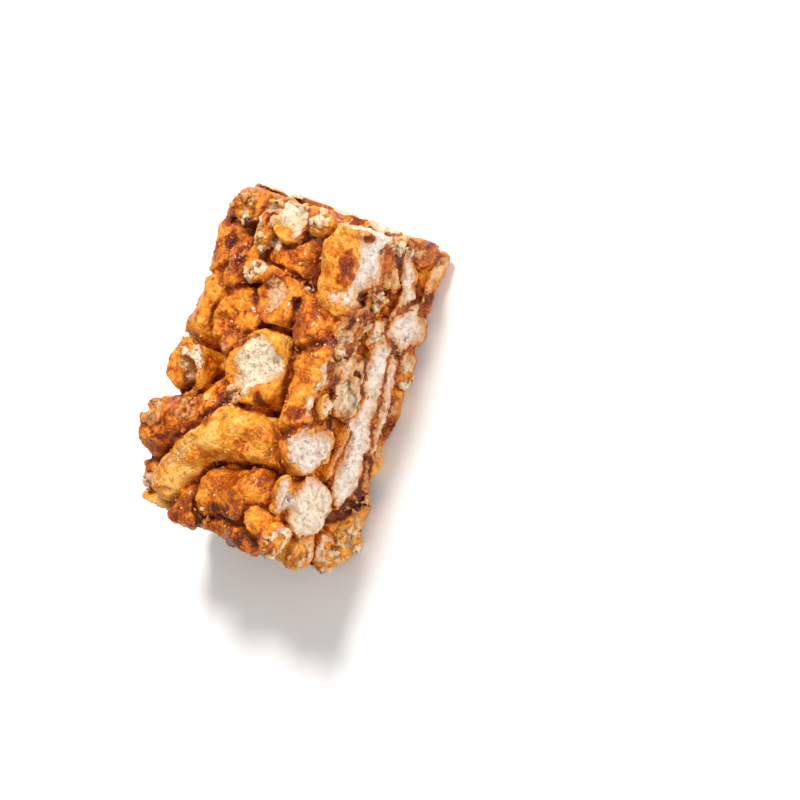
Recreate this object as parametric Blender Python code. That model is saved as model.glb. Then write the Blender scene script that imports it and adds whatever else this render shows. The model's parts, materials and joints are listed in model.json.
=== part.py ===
"""Sachima: a block cut from a slab of puffed, fried dough rolls bound by brown sugar syrup.

The block lies on its back. X runs along its length, Y across its width and Z up from what it lies on.
The rolls are fused into one solid with the syrup between them, and the block's faces cut through them.
"""

import math
from typing import NamedTuple

import bmesh
import bpy
import numpy as np
from mathutils import Vector

MM = 0.001

# The block's outside, in millimetres. The rolls are placed with Y counted from near the block's middle, and
# the finished block is then moved to the middle of its own box.
LENGTH = 75.0
CUT_SIDE = -20.0
BACK_SIDE = 22.6
BACK_ROLLS_IN = 1.8
HEIGHT = 34.0
MIDDLE_Y = (CUT_SIDE + BACK_SIDE) / 2

# The syrup between the rolls stands this far inside the block's faces
SYRUP_SET_BACK = 2.4
SYRUP_ROUNDING = 4.0
SYRUP_TOP = 26.8

# The corners of the cut block are worn off by this much
CORNER_WEAR = 1.6

# How finely a roll is drawn
SHOWN_STEPS = 3
HIDDEN_STEPS = 2
TUBE_RESOLUTION = 2
BOX_SEGMENTS = 2
WELD_GAP = 0.001

# Rolls that the seed places: first whole rolls along the faces that aren't shown, then small ones in the gaps
SEED = 11
DARTS = 900
HIDDEN_RADII = (4.4, 6.2)
FILL_RADII = (2.8, 4.4)
HIDDEN_CROWDING = 0.86
FILL_CROWDING = 0.62
ROLL_LENGTHS = (10.0, 20.0)
MOST_BEND = 0.25

# How deep they lie: shares of the radius for a roll along a face, and millimetres for one that fills a gap
# and for the outer end, the bend and the inner end of one that stands on a face
SUNK_SHARES = (0.55, 0.90)
FILL_DEPTHS = (5.2, 7.8)
FILL_LENGTH_SHARE = 0.5
END_ON_SHARE = 0.35
END_ON_DEPTHS = (-3.0, 4.0, 11.0)
TOP_SPARE = 3.0

# Where a roll's length is measured for crowding
MEASURE_STEPS = 8
MEASURE_POINTS = 5

# The rings past a roll's end, as shares of its radius: how far out, and how wide
ROUND, BROKEN, TORN = "round", "broken", "torn"
END_STEPS = {
    ROUND: ((0.55, 0.84), (0.90, 0.44)),
    BROKEN: ((0.34, 0.90),),
    TORN: (),
}


class Roll(NamedTuple):
    """A dough roll: the points that its middle line passes through, in millimetres, and how it ends."""

    name: str
    radius: float
    path: list
    ends: tuple = (ROUND, ROUND)


BROAD_FACE_ROLLS = [
    Roll("curved", 5.9,
         [(-13, -8.8, 27.2), (-13, -3.5, 27.8), (-15, 3, 28), (-21, 9.5, 27.5), (-28.5, 13, 26.5)]),
    Roll("tucked", 6.1, [(-28.5, 0.5, 25.5), (-27, -6, 26), (-24.5, -11, 26)]),
    Roll("gold_stub", 3.6, [(-30.3, -14.4, 29.5), (-31, -13, 22)], (BROKEN, ROUND)),
    Roll("foot_roll", 5.0, [(-33.5, 0, 24), (-34, -9.5, 25)]),
    Roll("dark", 6.8, [(-20, 22.5, 26), (-17.5, 17, 26.6), (-13, 11, 26.5), (-9.5, 6, 25)], (TORN, ROUND)),
    Roll("left_nub", 4.2, [(-27, 19.5, 24.5), (-31, 19, 23.5)]),
    Roll("foot_left", 4.4, [(-34, 19, 23), (-35.5, 10, 21)]),
    Roll("hollow_stub", 5.9, [(-4.6, 16.3, 31.5), (-5.5, 13.5, 18)], (BROKEN, ROUND)),
    Roll("cream_stub", 9.2, [(1, -2.6, 29), (1.5, -3, 21), (3, -4, 15)], (BROKEN, ROUND)),
    Roll("rough_stub", 7.2, [(9.5, 8, 28.5), (9, 9, 18)], (BROKEN, ROUND)),
    Roll("left_gold", 5.4, [(14, 17, 26), (5.5, 17.3, 26)]),
    Roll("pale_stub", 6.0, [(16, -1.5, 29.5), (14, -3, 20)], (BROKEN, ROUND)),
    Roll("pale_fold", 2.8, [(20.5, 9.5, 29.5), (20, 1, 30)], (TORN, ROUND)),
    Roll("left_brown", 5.6, [(29, 17, 25.5), (19.5, 17.3, 25)]),
    Roll("left_small", 4.8, [(24, 11, 27), (17.5, 13, 27)]),
    Roll("corner", 4.8, [(32, 18.5, 27.5), (33, 13.5, 28), (33, 9, 28)], (TORN, ROUND)),
    Roll("ridge", 2.4, [(36, 6.5, 30.5), (29, 7.5, 30.5), (23, 10, 29.5)], (TORN, TORN)),
    Roll("head_stub", 4.8, [(33.2, 1, 30.5), (31.5, 2, 20)], (BROKEN, ROUND)),
    Roll("sunk", 6.6, [(27, -2.5, 24), (25, 5, 24)]),
    Roll("head_small", 3.0, [(35, -3.5, 30), (35, -8.5, 30)]),
    Roll("head_roll", 7.2, [(36, -14.6, 26.8), (29, -15.4, 26.8), (22.5, -15.6, 26.6)], (TORN, ROUND)),
    Roll("orange", 5.8, [(15.5, -11.5, 27.5), (11, -14, 27), (5, -17.5, 21.5), (1, -18.5, 18)]),
    Roll("edge", 5.2, [(7.5, -16, 28), (-6.5, -16, 28)]),
]

CUT_SIDE_ROLLS = [
    Roll("cell_high", 6.0, [(-11.5, -24, 30), (-11.8, -12.5, 23)], (TORN, ROUND)),
    Roll("cell_wide", 7.2, [(-24.5, -25, 21.5), (-24, -11, 21.5)], (TORN, ROUND)),
    Roll("cell_gold", 5.4, [(8, -24, 25), (8, -12, 24)], (TORN, ROUND)),
    Roll("long_cell", 4.7, [(12, -18.8, 14.2), (-4, -18.8, 12.4), (-19.5, -18.4, 11.5)]),
    Roll("thin_cell", 2.6, [(13, -19, 9.6), (1, -19, 6.8), (-9, -19, 6.0)]),
    Roll("split_cell", 6.6, [(18, -24, 7.6), (18, -12, 7.4)], (TORN, ROUND)),
    Roll("split_neck", 2.8, [(34, -18.8, 14.8), (28, -18.8, 12.6), (22, -18.8, 11)]),
    Roll("split_tail", 2.8, [(15, -18.8, 5.4), (8, -18.8, 3.4)]),
    Roll("head_skin", 2.8, [(35, -17.4, 12.5), (35, -17.2, 7)]),
    Roll("back_skin", 3.2, [(33, -17.2, 4), (26, -17.2, 3.6)]),
    Roll("pale_crust", 3.2, [(-3, -17, 3.2), (-14, -17, 3.4)]),
    Roll("pale_low", 3.5, [(-23, -17.5, 4), (-31, -17.5, 4.5)]),
    Roll("foot_white", 3.9, [(-33, -24, 10), (-33, -13, 10)], (TORN, ROUND)),
    Roll("foot_gold", 5.0, [(-33.5, -16.5, 18.5), (-33, -8, 17)]),
    Roll("foot_small", 3.2, [(-32, -24, 29), (-31, -13, 28)], (TORN, ROUND)),
    Roll("mid_cream", 4.2, [(15, -24, 17.5), (16.5, -12, 17)], (TORN, ROUND)),
    Roll("fold_a", 2.0, [(26, -19.3, 25), (14, -19.3, 30)]),
    Roll("fold_b", 1.8, [(25, -19.3, 22), (15, -19.3, 26)]),
    Roll("fold_c", 1.8, [(23, -19.3, 19.5), (15, -19.3, 23)]),
    Roll("fold_d", 1.7, [(32, -19.3, 23), (27, -19.3, 20.5)]),
    Roll("brown_long", 2.4, [(37, -18.2, 19.5), (27, -18.2, 17.5)]),
    Roll("gold_line", 2.2, [(0, -18.6, 17.5), (-16, -18.6, 16.5)]),
    Roll("small_fold", 2.0, [(-20, -19.3, 32), (-25, -19.3, 30)]),
    Roll("knob", 2.9, [(-2.1, -17.4, 26), (-2.1, -10, 26)]),
    Roll("low_edge", 3.6, [(3, -16.8, 3.4), (-6, -16.8, 3.4)]),
    Roll("mid_low", 3.4, [(25, -16.8, 3.4), (22, -16.2, 4)]),
    Roll("syrup_lump", 4.4, [(-14, -16, 5.5), (-22, -16, 6)]),
    Roll("head_edge", 3.0, [(34, -16.8, 20.5), (33.5, -16.4, 17)]),
]


def clear_scene():
    """Starts from an empty scene."""
    for obj in list(bpy.data.objects):
        bpy.data.objects.remove(obj)


def smooth_path(points, steps):
    """Points on a Catmull-Rom curve through the given ones."""
    p = [np.array(q, float) for q in points]
    if len(p) == 2:
        return [p[0] + (p[1] - p[0]) * i / steps for i in range(steps + 1)]
    p = [2 * p[0] - p[1], *p, 2 * p[-1] - p[-2]]
    path = []
    for a, b, c, d in zip(p, p[1:], p[2:], p[3:]):
        for i in range(steps):
            t = i / steps
            square = (2 * a - 5 * b + 4 * c - d) * t**2
            cube = (3 * b - a - 3 * c + d) * t**3
            path.append(0.5 * (2 * b + (c - a) * t + square + cube))
    path.append(p[-2])
    return path


def samples_of(points):
    """A few points along a roll, for measuring how close two rolls lie."""
    path = np.array(smooth_path(points, MEASURE_STEPS))
    return path[np.linspace(0, len(path) - 1, MEASURE_POINTS).round().astype(int)]


def faces_of_block():
    """The block's faces, the two shown ones last, as middle, inward direction and two half sides."""
    half_x, half_y, half_z = LENGTH / 2, (BACK_SIDE - CUT_SIDE) / 2, HEIGHT / 2
    x, y, z = np.eye(3)
    return [
        (np.array([0, MIDDLE_Y, 0]), z, x * half_x, y * half_y),
        (np.array([0, BACK_SIDE - BACK_ROLLS_IN, half_z]), -y, x * half_x, z * half_z),
        (np.array([half_x, MIDDLE_Y, half_z]), -x, y * half_y, z * half_z),
        (np.array([-half_x, MIDDLE_Y, half_z]), x, y * half_y, z * half_z),
        (np.array([0, MIDDLE_Y, HEIGHT]), -z, x * half_x, y * half_y),
        (np.array([0, CUT_SIDE, half_z]), y, x * half_x, z * half_z),
    ]


def crowded(points, radius, others, share):
    """Whether a roll would run into one that is already there."""
    here = samples_of(points)
    for there, other in others:
        gap = np.sqrt(((here[:, None] - there[None]) ** 2).sum(2)).min()
        if gap < share * (radius + other):
            return True
    return False


def throw_roll(dice, radius, face, fills_gap):
    """The points of a roll that the dice lay along a face, stand on it, or lay under it to fill a gap."""
    middle, inward, side_a, side_b = face
    spot = middle + dice.uniform(-1, 1) * side_a + dice.uniform(-1, 1) * side_b
    half_roll = dice.uniform(*ROLL_LENGTHS) / 2
    turn = dice.uniform(0, 2 * math.pi)
    flat = math.cos(turn) * side_a / np.linalg.norm(side_a) + math.sin(turn) * side_b / np.linalg.norm(side_b)
    bend = dice.uniform(-MOST_BEND, MOST_BEND) * half_roll * np.cross(inward, flat)
    if fills_gap:
        spot = spot + dice.uniform(*FILL_DEPTHS) * inward
        reach = FILL_LENGTH_SHARE * half_roll * flat
        return [spot - reach, spot + bend, spot + reach]
    if dice.uniform() < END_ON_SHARE:
        outer, turning, inner = END_ON_DEPTHS
        return [spot + outer * inward, spot + turning * inward + bend, spot + inner * inward]
    spot = spot + dice.uniform(*SUNK_SHARES) * radius * inward
    return [spot - half_roll * flat, spot + bend, spot + half_roll * flat]


def more_rolls(shown):
    """Rolls along the faces that aren't shown, then small ones in the gaps: seeded darts that don't crowd."""
    dice = np.random.default_rng(SEED)
    placed = [(samples_of(roll.path), roll.radius) for roll in shown]
    made = []
    faces = faces_of_block()
    passes = ((HIDDEN_RADII, HIDDEN_CROWDING, faces[:4], False), (FILL_RADII, FILL_CROWDING, faces, True))
    for radii, share, chosen, fills_gap in passes:
        for face in chosen * DARTS:
            radius = dice.uniform(*radii)
            points = throw_roll(dice, radius, face, fills_gap)
            inward = face[1]
            too_high = max(q[2] for q in points) > HEIGHT - radius - TOP_SPARE
            too_near = min(q[1] for q in points) < CUT_SIDE + radius
            too_far = inward[1] == 0 and max(q[1] for q in points) > BACK_SIDE - radius
            if too_high or too_near or too_far or crowded(points, radius, placed, share):
                continue
            placed.append((samples_of(points), radius))
            made.append(Roll(f"more_{len(made):02d}", radius, points))
    return made


def with_tips(path, radius, ends):
    """The path with its tips added, as points with a radius each."""
    rings = [(Vector(q), radius) for q in path]
    start, end = rings[0][0], rings[-1][0]
    before = (start - rings[1][0]).normalized()
    after = (end - rings[-2][0]).normalized()
    first = [(start + before * radius * reach, radius * share) for reach, share in END_STEPS[ends[0]]]
    last = [(end + after * radius * reach, radius * share) for reach, share in END_STEPS[ends[1]]]
    return first[::-1] + rings + last


def dough_material():
    """Fried dough under its brown sugar coat."""
    mat = bpy.data.materials.new("caramelised_dough")
    mat.use_nodes = True
    shader = mat.node_tree.nodes["Principled BSDF"]
    shader.inputs["Base Color"].default_value = (0.50, 0.20, 0.04, 1)
    shader.inputs["Roughness"].default_value = 0.45
    shader.inputs["Metallic"].default_value = 0.0
    return mat


def weld(mesh):
    """Closes a tube's caps and turns its faces outwards."""
    bm = bmesh.new()
    bm.from_mesh(mesh)
    bmesh.ops.remove_doubles(bm, verts=bm.verts, dist=WELD_GAP * MM)
    bmesh.ops.recalc_face_normals(bm, faces=bm.faces)
    bm.to_mesh(mesh)
    bm.free()


def mesh_roll(roll, steps, collection):
    """One roll as a closed tube."""
    rings = with_tips(smooth_path(roll.path, steps), roll.radius, roll.ends)
    curve = bpy.data.curves.new(roll.name, "CURVE")
    curve.dimensions = "3D"
    curve.bevel_depth = MM
    curve.bevel_resolution = TUBE_RESOLUTION
    curve.use_fill_caps = True
    spline = curve.splines.new("POLY")
    spline.points.add(len(rings) - 1)
    for point, (place, size) in zip(spline.points, rings):
        point.co = (*(place * MM), 1.0)
        point.radius = size
    guide = bpy.data.objects.new(roll.name + "_guide", curve)
    collection.objects.link(guide)
    bpy.context.view_layer.update()
    mesh = bpy.data.meshes.new_from_object(guide.evaluated_get(bpy.context.evaluated_depsgraph_get()))
    bpy.data.objects.remove(guide)
    weld(mesh)
    tube = bpy.data.objects.new(roll.name, mesh)
    collection.objects.link(tube)


def rounded_box(name, low, high, rounding, collection):
    """A box between two corners, in millimetres, with its edges rounded."""
    mesh = bpy.data.meshes.new(name)
    bm = bmesh.new()
    bmesh.ops.create_cube(bm, size=1.0)
    low, high = Vector(low) * MM, Vector(high) * MM
    for vert in bm.verts:
        vert.co = Vector(low[k] + (vert.co[k] + 0.5) * (high[k] - low[k]) for k in range(3))
    bmesh.ops.bevel(
        bm,
        geom=list(bm.edges),
        offset=rounding * MM,
        segments=BOX_SEGMENTS,
        profile=0.5,
        affect="EDGES",
        clamp_overlap=True,
    )
    bm.to_mesh(mesh)
    bm.free()
    box = bpy.data.objects.new(name, mesh)
    collection.objects.link(box)
    return box


def apply_modifiers(obj):
    """Swaps an object's mesh for what its modifiers make of it."""
    bpy.context.view_layer.update()
    mesh = bpy.data.meshes.new_from_object(obj.evaluated_get(bpy.context.evaluated_depsgraph_get()))
    obj.modifiers.clear()
    obj.data = mesh


def largest_body(obj):
    """Drops scraps and sealed hollows, so that only the block's outer surface stays."""
    bm = bmesh.new()
    bm.from_mesh(obj.data)
    left = set(bm.verts)
    bodies = []
    while left:
        stack = [left.pop()]
        body = set(stack)
        while stack:
            for edge in stack.pop().link_edges:
                for vert in edge.verts:
                    if vert in left:
                        left.discard(vert)
                        body.add(vert)
                        stack.append(vert)
        bodies.append(body)
    keep = max(bodies, key=len)
    bmesh.ops.delete(bm, geom=[v for v in bm.verts if v not in keep], context="VERTS")
    bm.to_mesh(obj.data)
    bm.free()


def centre_on_box(obj):
    """Moves the mesh so that the origin is the bottom centre of its box."""
    points = np.array([vert.co for vert in obj.data.vertices])
    low, high = points.min(axis=0), points.max(axis=0)
    move = Vector((-(low[0] + high[0]) / 2, -(low[1] + high[1]) / 2, -low[2]))
    for vert in obj.data.vertices:
        vert.co += move


def fuse_rolls(block, rolls):
    """Unites the syrup body with every roll."""
    fuse = block.modifiers.new("fuse", "BOOLEAN")
    fuse.operation = "UNION"
    fuse.operand_type = "COLLECTION"
    fuse.collection = rolls
    # EXACT leaves nothing of so many rolls, so both Booleans use MANIFOLD.
    fuse.solver = "MANIFOLD"
    apply_modifiers(block)
    for obj in list(rolls.objects):
        bpy.data.objects.remove(obj)


def cut_to_size(block, cutters):
    """Cuts the rolls off at the block's faces."""
    low = (-LENGTH / 2, CUT_SIDE, 0)
    high = (LENGTH / 2, BACK_SIDE, HEIGHT)
    knife = rounded_box("knife", low, high, CORNER_WEAR, cutters)
    knife.hide_render = True
    knife.display_type = "WIRE"
    cut = block.modifiers.new("cut", "BOOLEAN")
    cut.operation = "INTERSECT"
    cut.object = knife
    cut.solver = "MANIFOLD"
    apply_modifiers(block)


def build():
    """The whole block as one solid."""
    clear_scene()
    block_parts = bpy.data.collections.new("sachima")
    rolls = bpy.data.collections.new("rolls")
    cutters = bpy.data.collections.new("cutters")
    for collection in (block_parts, rolls, cutters):
        bpy.context.scene.collection.children.link(collection)

    inset = SYRUP_SET_BACK
    block = rounded_box(
        "sachima_block",
        (-LENGTH / 2 + inset, CUT_SIDE + inset, 0.5 * inset),
        (LENGTH / 2 - inset, BACK_SIDE - inset, SYRUP_TOP),
        SYRUP_ROUNDING,
        block_parts,
    )
    shown = BROAD_FACE_ROLLS + CUT_SIDE_ROLLS
    for roll in shown:
        mesh_roll(roll, SHOWN_STEPS, rolls)
    for roll in more_rolls(shown):
        mesh_roll(roll, HIDDEN_STEPS, rolls)
    fuse_rolls(block, rolls)
    cut_to_size(block, cutters)
    largest_body(block)
    centre_on_box(block)
    block.data.materials.clear()
    block.data.materials.append(dough_material())


if __name__ == "__main__":
    build()
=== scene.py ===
import json
import math
from functools import partial
from typing import NamedTuple

import bpy
import numpy as np
from mathutils import Euler, Matrix, Vector, noise
from mathutils.bvhtree import BVHTree

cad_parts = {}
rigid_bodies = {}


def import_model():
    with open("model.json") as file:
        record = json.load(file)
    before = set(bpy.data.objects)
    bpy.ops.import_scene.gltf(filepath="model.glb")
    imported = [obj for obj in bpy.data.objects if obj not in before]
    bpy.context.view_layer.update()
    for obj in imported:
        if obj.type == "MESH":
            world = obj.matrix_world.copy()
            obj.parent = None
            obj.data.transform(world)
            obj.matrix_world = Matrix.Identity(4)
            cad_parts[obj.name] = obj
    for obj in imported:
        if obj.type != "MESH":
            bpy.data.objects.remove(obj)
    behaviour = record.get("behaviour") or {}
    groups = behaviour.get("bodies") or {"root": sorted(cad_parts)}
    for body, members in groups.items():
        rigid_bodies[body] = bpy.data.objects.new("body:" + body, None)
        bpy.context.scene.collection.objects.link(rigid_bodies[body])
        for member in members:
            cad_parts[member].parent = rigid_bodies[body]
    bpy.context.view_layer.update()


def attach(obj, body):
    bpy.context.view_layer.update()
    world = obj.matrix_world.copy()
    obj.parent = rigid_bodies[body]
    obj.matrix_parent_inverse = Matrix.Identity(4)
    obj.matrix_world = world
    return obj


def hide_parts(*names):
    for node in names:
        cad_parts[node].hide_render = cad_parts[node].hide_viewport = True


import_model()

# The block lies on its back. X runs along its length, Y across its width and Z up from what it lies on.
# The rolls are placed in millimetres, with Y counted from near the block's middle: CUT_SIDE is the side that
# the knife made towards the camera.
MM = 0.001
NODE = "sachima_block"

LENGTH = 75.0
CUT_SIDE = -20.0
BACK_SIDE = 22.6
BACK_ROLLS_IN = 1.8
HEIGHT = 34.0
MIDDLE_Y = (CUT_SIDE + BACK_SIDE) / 2

# The syrup between the rolls
SYRUP_SET_BACK = 2.4
SYRUP_ROUNDING = 4.0
SYRUP_BOTTOM = 1.2
SYRUP_TOP = 26.8

# Rolls that the seed places: whole rolls along the faces that aren't shown, small ones deep in the gaps,
# and slivers that the knife laid bare in the cut side
SEED = 11
DARTS = 900
HIDDEN_RADII = (4.4, 6.2)
FILL_RADII = (2.8, 4.4)
SLIVER_RADII = (1.4, 2.8)
HIDDEN_CROWDING = 0.86
FILL_CROWDING = 0.62
SLIVER_CROWDING = 0.80
ROLL_LENGTHS = (10.0, 20.0)
MOST_BEND = 0.25

# How deep they lie: shares of the radius for a roll along a face, and millimetres for one that fills a gap
# and for the outer end, the bend and the inner end of one that stands on a face
SUNK_SHARES = (0.55, 0.90)
FILL_DEPTHS = (5.2, 7.8)
FILL_LENGTH_SHARE = 0.5
END_ON_SHARE = 0.35
END_ON_DEPTHS = (-3.0, 4.0, 11.0)
TOP_SPARE = 3.0

# Their looks: the skin's tone, darker deep in the gaps, and the crumb's toast
SEEDED_TONES = (0.2, 0.65)
DEEP_TONE = 0.7
SEEDED_TOASTS = (0.0, 0.5)

# Where a roll's length is measured for crowding
MEASURE_STEPS = 8
MEASURE_POINTS = 5

# How finely a roll's line is bent when the roll is laid, and when a place looks for its nearest roll
LAY_STEPS = 6
LOOKUP_STEPS = 5
LOOKUP_REACH = 4.0

# How a roll is shaped before the rolls are fused: its sides, the spacing of its rings in millimetres, and the
# rings past its end, as shares of its radius
ROLL_SIDES = 14
RING_SPACING = 1.6
FEWEST_RINGS = 4
ROUND, BROKEN, TORN = "round", "broken", "torn"
END_STEPS = {
    ROUND: ((0.35, 0.94), (0.70, 0.72), (0.92, 0.40)),
    BROKEN: ((0.16, 0.97), (0.34, 0.88)),
    TORN: (),
}

# The knife's cuts wander by this much from roll to roll
CUT_WANDER = 0.45
CUT_TILT = math.radians(2.5)

# The fused block's mesh. The sides that the photograph doesn't show are kept coarser.
VOXEL = 0.32
MOST_TRIANGLES = 192000
UNSEEN_SHARE = 0.4

# How far the relief and the crumbs may stand out of the block's faces
SPARE = 0.5

# Torn dough: over what depth a torn patch begins, the size of its shards, how far they stand out, and their
# noise's smoothness, scale step and octaves
TORN_EDGE = 1.2
SHARD_SIZE = 1.7
SHARD_RISE = 1.5
SHARD_NOISE = (0.7, 2.1, 3)

# The share of shards that stand out: the level that the noise starts from, and its gain
SHARD_LEVEL = 0.15
SHARD_GAIN = 1.4

# How deep inside a roll the crumb of a torn place is, in millimetres: its mean, how much more it is at the
# highest shards, and between which depths it takes the place of what was there
TORN_DEPTH = 0.5
SHARD_DEPTH = 3.5
COVERED_DEPTHS = (-1, 2)

# Marks: a depth outside of all of them, and how fast a stain grows from its edge to its full strength
FAR_OUTSIDE = 10.0
STAIN_SLOPE = 1.6

# How craggy the rim of a cut or broken end is, where a torn patch is 1
RIM_SHARE = 0.7

# What the surface keeps about each of its points, for the dough's material and for the crumbs
SURFACE_FACTS = ("crumb_depth", "pinch", "outside", "tone", "toast", "sunk", "stain")

# The photograph's camera
IMAGE_SIZE = 800
LENS = 163.8
SENSOR = 36.0
CAMERA_DISTANCE = 800.0
CAMERA_AIM = Vector((2.1, -15.2, -5.1))
CAMERA_AZIMUTH = math.radians(7.47)
CAMERA_ELEVATION = math.radians(53.25)
CAMERA_ROLL = math.radians(-78.0)


class Roll(NamedTuple):
    """A dough roll: the points that its middle line passes through, in millimetres, and how it looks."""

    name: str
    radius: float
    path: list
    ends: tuple = (ROUND, ROUND)
    # The skin, from 0 golden to 1 dark with syrup
    tone: float = 0.4
    # The crumb, from 0 white to 1 golden brown
    toast: float = 0.2
    # How far in the skin reaches over a cut or broken end, in millimetres
    skin: float = 0.0


class Mark(NamedTuple):
    """A spot on the surface: the photograph's pixel that shows it, and its radius in millimetres."""

    name: str
    pixel: tuple
    radius: float
    # The crumb's toast or the stain's darkness
    strength: float


class Hollow(NamedTuple):
    """A ball that is taken out of a roll: where, turned how, and its half sizes, in millimetres."""

    roll: str
    place: tuple
    turn: tuple
    size: tuple


# Reaches over the whole end of a stub, so that only marks bare its crumb
COVERED = 9.0

BROAD_FACE_ROLLS = [
    Roll(
        "curved",
        5.9,
        [(-13, -8.8, 27.2), (-13, -3.5, 27.8), (-15, 3, 28), (-21, 9.5, 27.5), (-28.5, 13, 26.5)],
        tone=0.28,
    ),
    Roll("tucked", 6.1, [(-28.5, 0.5, 25.5), (-27, -6, 26), (-24.5, -11, 26)], tone=0.56),
    Roll("gold_stub", 3.6, [(-30.3, -14.4, 29.5), (-31, -13, 22)], (BROKEN, ROUND), 0.02, 0.85, COVERED),
    Roll("foot_roll", 5.0, [(-33.5, 0, 24), (-34, -9.5, 25)], tone=0.60),
    Roll(
        "dark",
        6.8,
        [(-20, 22.5, 26), (-17.5, 17, 26.6), (-13, 11, 26.5), (-9.5, 6, 25)],
        (TORN, ROUND),
        0.58,
        0.8,
    ),
    Roll("left_nub", 4.2, [(-27, 19.5, 24.5), (-31, 19, 23.5)], tone=0.50),
    Roll("foot_left", 4.4, [(-34, 19, 23), (-35.5, 10, 21)], tone=0.12),
    Roll("hollow_stub", 5.9, [(-4.6, 16.3, 31.5), (-5.5, 13.5, 18)], (BROKEN, ROUND), 0.40, 0.2, COVERED),
    Roll("cream_stub", 9.2, [(1, -2.6, 29), (1.5, -3, 21), (3, -4, 15)], (BROKEN, ROUND), 0.35, 0.1, COVERED),
    Roll("rough_stub", 7.2, [(9.5, 8, 28.5), (9, 9, 18)], (BROKEN, ROUND), 0.40, 0.85, COVERED),
    Roll("left_gold", 5.4, [(14, 17, 26), (5.5, 17.3, 26)], tone=0.38),
    Roll("pale_stub", 6.0, [(16, -1.5, 29.5), (14, -3, 20)], (BROKEN, ROUND), 0.42, 0.3, COVERED),
    Roll("pale_fold", 2.8, [(20.5, 9.5, 29.5), (20, 1, 30)], (TORN, ROUND), 0.30, 0.2),
    Roll("left_brown", 5.6, [(29, 17, 25.5), (19.5, 17.3, 25)], tone=0.42),
    Roll("left_small", 4.8, [(24, 11, 27), (17.5, 13, 27)], tone=0.52),
    Roll("corner", 4.8, [(32, 18.5, 27.5), (33, 13.5, 28), (33, 9, 28)], (TORN, ROUND), 0.40, 0.8),
    Roll("ridge", 2.4, [(36, 6.5, 30.5), (29, 7.5, 30.5), (23, 10, 29.5)], (TORN, TORN), 0.30, 0.1),
    Roll("head_stub", 4.8, [(33.2, 1, 30.5), (31.5, 2, 20)], (BROKEN, ROUND), 0.35, 0.15, COVERED),
    Roll("sunk", 6.6, [(27, -2.5, 24), (25, 5, 24)], tone=0.58),
    Roll("head_small", 3.0, [(35, -3.5, 30), (35, -8.5, 30)], tone=0.30),
    Roll(
        "head_roll",
        7.2,
        [(36, -14.6, 26.8), (29, -15.4, 26.8), (22.5, -15.6, 26.6)],
        (TORN, ROUND),
        0.22,
        0.0,
    ),
    Roll(
        "orange",
        5.8,
        [(15.5, -11.5, 27.5), (11, -14, 27), (5, -17.5, 21.5), (1, -18.5, 18)],
        tone=0.56,
        toast=0.4,
    ),
    Roll("edge", 5.2, [(7.5, -16, 28), (-6.5, -16, 28)], tone=0.45, toast=0.1),
]

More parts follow.
